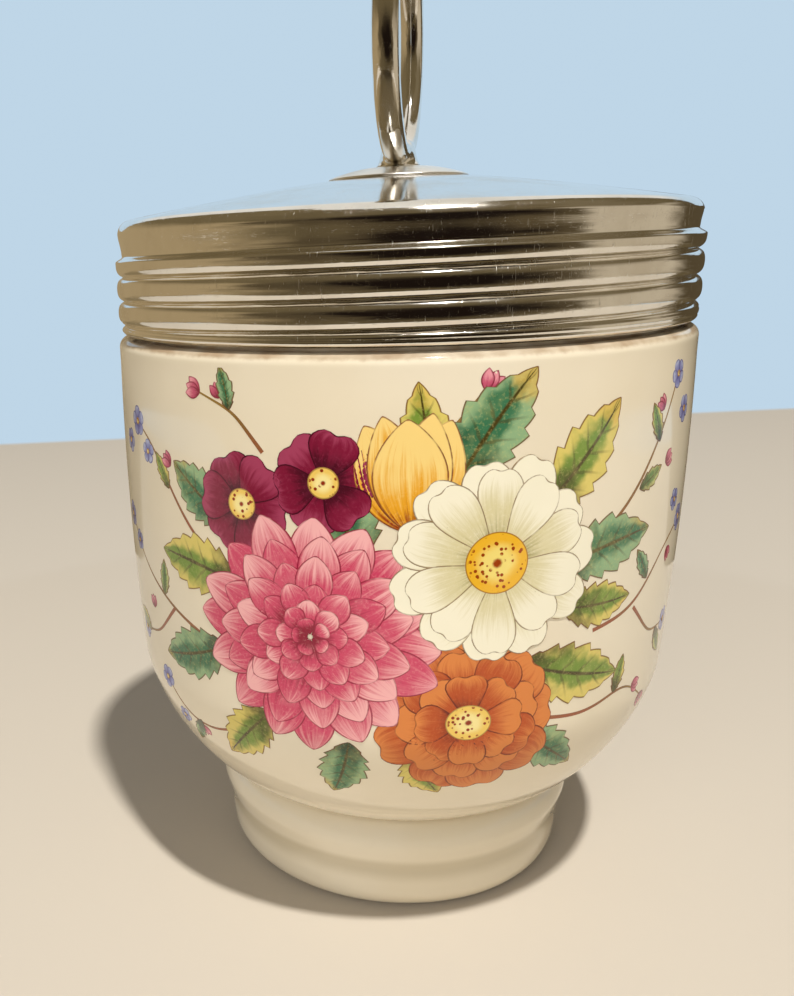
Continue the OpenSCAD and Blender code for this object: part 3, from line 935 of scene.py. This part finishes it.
def bright_metal(name, wear, satin=0.0):
    """Polished plating. wear from 0 to 1 sets how much it is scratched, satin adds to its roughness."""
    f = Finish(name)
    place, around = f.place(), round_the_axis(f)
    rings = f.streaks(around, (60.0, 9000.0, 9000.0), 2.0, 0.6)
    hair = f.between(f.streaks(around, (900.0, 3200.0, 3200.0), 3.0, 0.7, 1.2), 0.6, 0.7)
    cross = f.between(f.streaks(place, (5200.0, 700.0, 500.0), 2.0, 0.6, 2.0), 0.66, 0.72)
    marks = f.math("MAXIMUM", hair * 0.6, cross)
    dull = f.between(f.noise(place, 95.0, 4.0, 0.6), 0.42, 0.72)
    rough = dull * (0.05 + 0.07 * wear) + (0.035 + 0.03 * wear) + marks * (0.16 * wear) + satin
    normal = f.bump(marks, 0.004 * wear, Normal=f.bump(rings, 0.0012 + 0.002 * wear))
    colour = f.mix(dull * 0.55, CHROME, CHROME_DULL)
    return f.set(Base_Color=colour, Metallic=1.0, Roughness=rough, Normal=normal)


# %% [markdown]
# ## The lid
#
# The lid is one sheet, spun to a low dome and rolled with a thread. From
# outside the thread shows as broad beads with narrow valleys between them.
# They climb to the right, and the top one runs out into the ledge below the
# plain skirt. The lower edge is rolled, with a flat hem over it. Inside, the
# sheet follows the same helix, so that it clears the porcelain thread by a
# quarter of a millimetre the whole way.

# %% Lid section and its thread
BEAD_FLAT = 5.0
RUN_OUT = 0.15 * np.pi
LEDGE_LOW = 8.0
LEDGE_CLIMB = 1.05
SKIRT_TUCK = 0.3
CORNER_Z = RIM_Z + 0.4 + SHEET_T
HALF_SHEET = SHEET_T / 2


def ledge_height(angle):
    """Height of the ledge above the edge: it climbs with the thread in front and comes back behind."""
    turn = (angle + np.pi) % TAU
    climb = LEDGE_CLIMB * np.clip(turn / np.pi, 0, 1) * (1 - ease(turn, np.pi + RUN_OUT, TAU))
    return EDGE_Z + LEDGE_LOW + climb


def lid_change(angle, radius, height):
    """Rolls the thread, the hem and the ledge into both faces of the sheet."""
    phase = thread_phase(angle, height)
    crest = (1 + np.cos(phase)) / 2
    off_crest = np.abs((phase + np.pi) % TAU - np.pi) / np.pi
    broad = 0.75 * (1 - off_crest ** BEAD_FLAT) + 0.25 * crest ** 0.6
    grow = 0.747 + 0.253 * ease(height, EDGE_Z + 0.2, EDGE_Z + 1.6)
    ledge = ledge_height(angle)
    above = ease(height, ledge - 0.25, ledge + 0.2)
    hem = height - EDGE_Z
    grooves = 0.07 * (np.exp(-((hem - 0.62) / 0.09) ** 2) + np.exp(-((hem - 1.25) / 0.1) ** 2))
    curl = 0.2 * (1 - ease(hem, 0.0, 0.4))
    fade = 1 - ease(height, ledge - 0.7, ledge - 0.1)
    rolled = VALLEY_R + BEAD_RISE * broad * grow * fade - curl - grooves
    tuck = SKIRT_TUCK * (1 - ease(height, ledge + 0.1, ledge + 2.3))
    outer = rolled * (1 - above) + (SKIRT_R - tuck) * above
    inner = VALLEY_IN_R + BEAD_RISE * crest * grow * (1 - ease(height, LEDGE_Z - 0.8, LEDGE_Z))
    step = ease(height, LEDGE_Z, LEDGE_Z + 0.4)
    inner = inner * (1 - step) + (SKIRT_R - SHEET_T) * step
    wall = height < CORNER_Z - CORNER_R + 0.4
    is_outer = wall & (radius > SKIRT_R - 0.2)
    is_inner = wall & (radius <= SKIRT_R - 0.2) & (radius > SKIRT_R - SHEET_T - 0.12)
    change = np.where(is_outer, outer - SKIRT_R, 0) + np.where(is_inner, inner - SKIRT_R + SHEET_T, 0)
    return radius + change


def lid_points():
    """The sheet's section: up outside, over the dome, down through the hole and back inside."""
    dome_r = SKIRT_R - CORNER_R
    slope = math.atan(DOME_POWER * DOME_RISE / (dome_r - SEAT_R))
    bend = QUARTER - slope
    corner_z = CORNER_Z - CORNER_R * math.cos(slope)
    low_r = dome_r + CORNER_R * math.sin(slope)
    inner_r = CORNER_R - SHEET_T
    t = steps(60)[1:]
    dome = np.stack([low_r + (SEAT_R - low_r) * t, SEAT_Z - DOME_RISE * (1 - t) ** DOME_POWER], 1)
    edge = (SKIRT_R - HALF_SHEET, EDGE_Z + HALF_SHEET, HALF_SHEET, HALF_SHEET)
    points = arc(*edge, -QUARTER, 0, 6) + arc(dome_r, corner_z, CORNER_R, CORNER_R, 0, bend, 16)
    points += [*dome, (HOLE_R, SEAT_Z), (HOLE_R, SEAT_Z - SHEET_T), *(dome[::-1] - [0, SHEET_T])]
    points += arc(dome_r, corner_z, inner_r, inner_r, bend, 0, 12)
    return points + arc(*edge, -2 * QUARTER, -QUARTER, 6)[:-1]


def band_rows(points):
    """More rows in the rolled band, most of them outside."""
    in_band = (points[:, 1] < LEDGE_Z + 1.2) & (points[:, 0] > SKIRT_R - 1)
    return in_band * np.where(points[:, 0] > SKIRT_R - 0.2, 11.0, 5.0)


lid = turned("lid_shell", outline(lid_points(), 0.06, 1.2, 0.12, True, band_rows), 320, True, lid_change)
lid.data.materials.append(bright_metal("lid_plating", 1.0))
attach(lid, "lid")
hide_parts("lid_cap")

# %% [markdown]
# ## Plate, stud, washer and nut
#
# Below the ring lies a thin crowned plate. A stud goes down from the ring
# through plate and lid, and a washer and a nut hold it inside. They only show
# from below, or when the lid is off, but then they show well: the nut has its
# chamfered corners and the stud its own fine thread.

# %% Plate
def plate_points():
    """The plate's section, closed round its hole."""
    low, half = PLATE_LOW[2], PLATE_T / 2
    rim_r = PLATE_HIGH[0] - half
    t = steps(24)[1:]
    crown = low + 2 * half + (PLATE_TOP - low - 2 * half) * np.sin(QUARTER * t)
    points = [(HOLE_R, low), *arc(rim_r, low + half, half, half, -QUARTER, QUARTER, 12)]
    return points + [*zip(rim_r + (FLARE_R - rim_r) * t, crown), (HOLE_R, PLATE_TOP)]


plate = turned("rose_plate_fine", outline(plate_points(), 0.07, 0.6, 0.12, True), 160, True)
plate.data.materials.append(bright_metal("plate_plating", 0.7, 0.24))
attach(plate, "lid")
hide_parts("rose_plate")

# %% Steel finish
STEEL = (0.56, 0.55, 0.53, 1)
STEEL_WORN = (0.40, 0.37, 0.33, 1)


def plain_steel(name):
    """Plain steel with turning marks and a dull brown film."""
    f = Finish(name)
    marks = f.streaks(round_the_axis(f), (300.0, 7000.0, 7000.0), 2.0, 0.5)
    film = f.between(f.noise(f.place(), 420.0, 4.0, 0.65), 0.4, 0.7)
    return f.set(Base_Color=f.mix(film, STEEL, STEEL_WORN), Metallic=1.0, Roughness=film * 0.2 + 0.24,
                 Normal=f.bump(marks, 0.006))


# %% Washer, nut and stud
NUT_R = NUT_HIGH[1]
STUD_LOW = RING_LOW[2]


def flat_ring(inner, outer, low, high):
    """The section of a washer or of a nut's blank."""
    return [(inner, low), (outer, low), (outer, high), (inner, high)]


def nut_change(angle, radius, height):
    """Cuts the turned blank to a hexagon, and bevels its corners top and bottom."""
    hexagon = NUT_R / np.cos((angle % (np.pi / 3)) - np.pi / 6)
    bevel = NUT_R * 1.03 + np.minimum(height - NUT_LOW[2], NUT_HIGH[2] - height) * 1.7
    blank = np.minimum(np.minimum(hexagon, bevel), radius + 5)
    return np.where(radius > NUT_R - 0.6, blank, radius)


def stud_change(angle, radius, height):
    """A fine thread on the stud's lower end."""
    depth = 0.11 * (1 - np.cos(TAU * height / 0.5 - angle)) / 2
    span = 1 - ease(height, SEAT_Z - 0.9, SEAT_Z - 0.4)
    return radius - depth * span * (radius > STUD_R - 0.3)


washer_blank = flat_ring(HOLE_R, WASHER_HIGH[0], WASHER_LOW[2], WASHER_HIGH[2])
washer = turned("washer_fine", outline(washer_blank, 0.06, 0.7, 0.2, True), 128, True)
washer.data.materials.append(plain_steel("washer_steel"))
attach(washer, "washer")
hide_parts("inner_washer")

nut_blank = flat_ring(STUD_R, NUT_R, NUT_LOW[2], NUT_HIGH[2])
nut = turned("nut_fine", outline(nut_blank, 0.04, 0.25, 0.2, True), 192, True, nut_change)
nut.data.materials.append(plain_steel("nut_steel"))
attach(nut, "lid")
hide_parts("stud_nut")

stud_blank = [(0.05, STUD_LOW), (STUD_R - 0.25, STUD_LOW), (STUD_R, STUD_LOW + 0.25),
              (STUD_R, PLATE_TOP - 0.1), (0.05, PLATE_TOP - 0.1)]
stud = turned("ring_stud", outline(stud_blank, 0.05, 0.12, 0.2, False), 64, False, stud_change)
stud.data.materials.append(plain_steel("stud_steel"))
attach(stud, "lid")

# %% [markdown]
# ## The lifting ring
#
# The ring is a round wire, closed and brazed to a small flared foot. Where two
# such shapes meet, the metal runs smoothly from one into the other, which a
# boolean would cut to a hard line. So a remeshed blank is made first, and then
# each of its points moves onto a smooth union of the two distances: the
# distance to the wire and the distance to the foot.

# %% Ring by distances
RING_MID_R = (RING_HIGH[1] - RING_LOW[1]) / 2 / math.cos(RING_TURN) - WIRE_R
RING_Z = RING_HIGH[2] - WIRE_R - RING_MID_R
BLEND = 0.7
BOSS_R = 2.0
BOSS_H = 2.6
FILLET = 0.42


def ring_distance(p):
    """Distance to the wire, smoothly joined to the distance to the flared foot."""
    across = p[:, 0] * math.cos(RING_TURN) - p[:, 1] * math.sin(RING_TURN)
    along = p[:, 0] * math.sin(RING_TURN) + p[:, 1] * math.cos(RING_TURN)
    wire = np.hypot(np.hypot(along, p[:, 2] - RING_Z) - RING_MID_R, across) - WIRE_R
    up = np.maximum(p[:, 2] - PLATE_TOP, 0)
    boss = BOSS_R - 0.5 * (up / BOSS_H) ** 2 + (FLARE_R - BOSS_R) * np.exp(-up / FILLET)
    foot = (np.hypot(p[:, 0], p[:, 1]) - boss) * 0.8
    foot = np.maximum(foot, np.maximum(up - BOSS_H, PLATE_TOP - 0.02 - p[:, 2]))
    h = np.clip(0.5 + 0.5 * (foot - wire) / BLEND, 0, 1)
    return foot * (1 - h) + wire * h - BLEND * h * (1 - h)


def ring_blank():
    """A rough ring and foot, remeshed to even small faces."""
    count, sides = 160, 20
    round_ring = TAU * np.arange(count)[:, None] / count
    round_wire = TAU * np.arange(sides)[None, :] / sides
    r, w = RING_MID_R + WIRE_R * np.cos(round_wire), WIRE_R * np.sin(round_wire)
    along, z = r * np.sin(round_ring), RING_Z - r * np.cos(round_ring)
    x = w * math.cos(RING_TURN) + along * math.sin(RING_TURN)
    y = -w * math.sin(RING_TURN) + along * math.cos(RING_TURN)
    shape = bmesh.new()
    corners = [shape.verts.new(p) for p in (np.stack([x, y, z], -1).reshape(-1, 3) * MM).tolist()]
    for face in row_faces(count, sides, True):
        shape.faces.new([corners[i] for i in face])
    bmesh.ops.create_cone(shape, cap_ends=True, segments=64, radius1=FLARE_R * MM * 0.95,
                          radius2=WIRE_R * MM, depth=FLARE_H * MM,
                          matrix=Matrix.Translation((0, 0, (PLATE_TOP + FLARE_H / 2) * MM)))
    bmesh.ops.recalc_face_normals(shape, faces=shape.faces)
    data = bpy.data.meshes.new("ring_blank")
    shape.to_mesh(data)
    shape.free()
    blank = bpy.data.objects.new("ring_blank", data)
    bpy.context.scene.collection.objects.link(blank)
    remesh = blank.modifiers.new("even", "REMESH")
    remesh.mode = "VOXEL"
    remesh.voxel_size = 0.17 * MM
    made = bpy.data.meshes.new_from_object(blank.evaluated_get(bpy.context.evaluated_depsgraph_get()))
    bpy.data.objects.remove(blank)
    return made


def onto_surface(points, distance, rounds):
    """Moves points along the distance's slope until they lie on it."""
    step = 0.01
    for _ in range(rounds):
        here = distance(points)
        slope = np.stack([(distance(points + step * e) - here) / step for e in np.eye(3)], 1)
        length = np.maximum((slope ** 2).sum(1, keepdims=True), 0.05)
        points = points - here[:, None] * slope / length
    return points


ring_mesh = ring_blank()
ring_points = np.array([v.co for v in ring_mesh.vertices]) / MM
ring_points = onto_surface(ring_points, ring_distance, 6)
ring_mesh.vertices.foreach_set("co", (ring_points * MM).ravel())
ring_mesh.polygons.foreach_set("use_smooth", [True] * len(ring_mesh.polygons))
ring_mesh.update()
ring = bpy.data.objects.new("lifting_ring_wire", ring_mesh)
bpy.context.scene.collection.objects.link(ring)
ring.data.materials.clear()
ring.data.materials.append(bright_metal("ring_plating", 0.8))
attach(ring, "lid")
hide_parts("lifting_ring")
print("ring", len(ring_points), "points, off its surface by",
      round(float(np.abs(ring_distance(ring_points)).max()), 4), "mm")

# %% [markdown]
# ## Floor, backdrop and light
#
# The cup stands on a plain pale table top that ends, a good way behind it, in
# a plain pale blue backdrop. Overhead the backdrop turns a warm white, which
# the plate under the ring mirrors. A small lamp far overhead, in front and to
# the right, lays the shadow to the left, and a broad weak one fills in from
# the front. Polished metal only looks like metal if it has something dark to
# mirror, so a dim brown shell stands round the set and glows with painted
# reflections for the lid: dark in front, brown, umber and pale to the sides.
# Only reflections see it.

# %% Floor
FLOOR = (0.60, 0.54, 0.455, 1)
BACKDROP = (0.52, 0.67, 0.80, 1)
CEILING = (0.80, 0.77, 0.71, 1)
FLOOR_R = 3000.0
TABLE_TURN = 0.215
TABLE_END = (281.0, 289.0)


def floor_finish():
    """A pale square table top that ends in the backdrop's own colour."""
    f = Finish("floor_paint")
    x, y, _ = f.split(f.place())
    c, s = math.cos(TABLE_TURN), math.sin(TABLE_TURN)
    away = f.math("MAXIMUM", abs(x * c + y * s), abs(y * c - x * s))
    far = f.between(away, TABLE_END[0] * MM, TABLE_END[1] * MM)
    f.set(Base_Color=FLOOR, Roughness=0.6, Specular_IOR_Level=0.1)
    table = Wire(f, f.shader.outputs[0])
    glow = f.add("ShaderNodeEmission", Color=BACKDROP, Strength=1.0)
    return f.surface(f.add("ShaderNodeMixShader", _0=far * f.seen(), _1=table, _2=glow))


turn = TAU * np.arange(96) / 96
rim = np.stack([FLOOR_R * np.cos(turn), FLOOR_R * np.sin(turn), 0 * turn], 1)
floor = new_piece("floor", rim, [list(range(len(turn)))])
floor.data.materials.append(floor_finish())

# %% World
AMBIENT = 0.18
AMBIENT_TINT = (1.0, 0.985, 0.96, 1)
CEILING_FROM, CEILING_FULL = math.sin(math.radians(17)), math.sin(math.radians(30))

world = bpy.data.worlds.new("studio")
bpy.context.scene.world = world
w = Nodes(world)
up = w.split(w.add("ShaderNodeTexCoord", None, "Generated"))[2]
back = w.tree.nodes["Background"]
w.feed(back.inputs["Color"], w.mix(w.between(up, CEILING_FROM, CEILING_FULL), BACKDROP, CEILING))
fill = w.add("ShaderNodeBackground", Color=AMBIENT_TINT, Strength=AMBIENT)
light = w.add("ShaderNodeMixShader", _0=w.seen(), _1=fill, _2=w.wires(back, 0)[0])
w.feed(w.tree.nodes["World Output"].inputs["Surface"], light)

# %% Lamps
AIM_AT = Vector((0, 0, 45 * MM))


def lamp(name, place, size, power, tint):
    """A soft round lamp that looks at the middle of the cup. Place and size in mm, power in watts."""
    data = bpy.data.lights.new(name, "AREA")
    data.shape = "DISK"
    data.size = size * MM
    data.energy = power
    data.color = tint
    thing = bpy.data.objects.new(name, data)
    thing.location = Vector(place) * MM
    thing.rotation_mode = "QUATERNION"
    thing.rotation_quaternion = (AIM_AT - thing.location).to_track_quat("-Z", "Y")
    bpy.context.scene.collection.objects.link(thing)
    return thing


KEY_W = 16.5
FRONT_W = 0.95
lamp("key_lamp", (215, -420, 1200), 62, KEY_W, (1.0, 0.97, 0.92))
front = lamp("front_lamp", (-120, -470, 190), 420, FRONT_W, (1.0, 0.98, 0.95))
front.visible_glossy = False


# %% Surroundings for the metal
SHELL_AWAY = 128.0
SHELL_TOP = 470.0
SHELL_BACK_TOP = 84.0
SHELL_OPEN = 124
SHELL_LIFT = 40.0
# The shell's colours are painted reflections: the metal mirrors them, and nothing else sees them.
DARK = (0.010, 0.006, 0.004, 1)
UMBER = (0.085, 0.062, 0.032, 1)
OLIVE = (0.14, 0.105, 0.052, 1)
BROWN = (0.38, 0.285, 0.155, 1)
PALE = (0.52, 0.44, 0.32, 1)
# From left to right round the shell: the angles between which a tone of the painted reflection takes over.
SHELL_TONES = [(-1.15, -0.65, UMBER), (-0.45, -0.1, DARK), (0.55, 0.85, UMBER), (0.9, 1.15, PALE),
               (1.6, 2.0, UMBER)]


def painted_reflection_finish():
    """Painted reflections for the metal: dim browns that run into each other, dark at the lid's height in
    front.
    """
    f = Finish("painted_reflection_glow")
    place = f.place()
    x, y, z = f.split(place)
    stir = f.streaks(place, (9.0, 9.0, 22.0), 3.0, 0.6, 0.6) - 0.5
    angle = f.math("ARCTAN2", x, y * -1.0) + stir * 1.4
    colour = BROWN
    for start, full, tone in SHELL_TONES:
        colour = f.mix(f.between(angle, start, full), colour, tone)
    height = z + stir * 0.05
    colour = f.mix(f.between(height, 0.088, 0.14, 0.0, 0.9), colour, OLIVE)
    colour = f.mix(f.between(height, 0.030, 0.050, 0.6, 0.0), colour, OLIVE)
    return f.surface(f.add("ShaderNodeEmission", Color=colour, Strength=1.0))


def shell_rows():
    """The shell's lower and upper edge. It stands clear of the floor at the sides, and is low behind."""
    turn = np.radians(np.linspace(-180, 180, 121))
    aside = np.abs(np.degrees(turn))
    low = 1 + SHELL_LIFT * ease(aside, 25, 70) * (1 - ease(aside, SHELL_OPEN - 14, SHELL_OPEN))
    high = SHELL_TOP + (SHELL_BACK_TOP - SHELL_TOP) * ease(aside, SHELL_OPEN - 6, SHELL_OPEN + 6)
    across, along = SHELL_AWAY * np.sin(turn), -SHELL_AWAY * np.cos(turn)
    return [np.stack([across, along, edge], 1) for edge in (low, high)]


low_row, high_row = shell_rows()
count = len(low_row)
shell_faces = [[i, i + 1, count + i + 1, count + i] for i in range(count - 1)]
shell = new_piece("reflected_shell", np.vstack([low_row, high_row]), shell_faces)
shell.data.materials.append(painted_reflection_finish())
shell.visible_camera = False
shell.visible_diffuse = False
shell.visible_shadow = False
shell.visible_transmission = False

# %% [markdown]
# ## The picture's own settings
#
# Colours are shown as they are written, with no look on top.

# %% Finish
bpy.context.scene.view_settings.view_transform = "Standard"
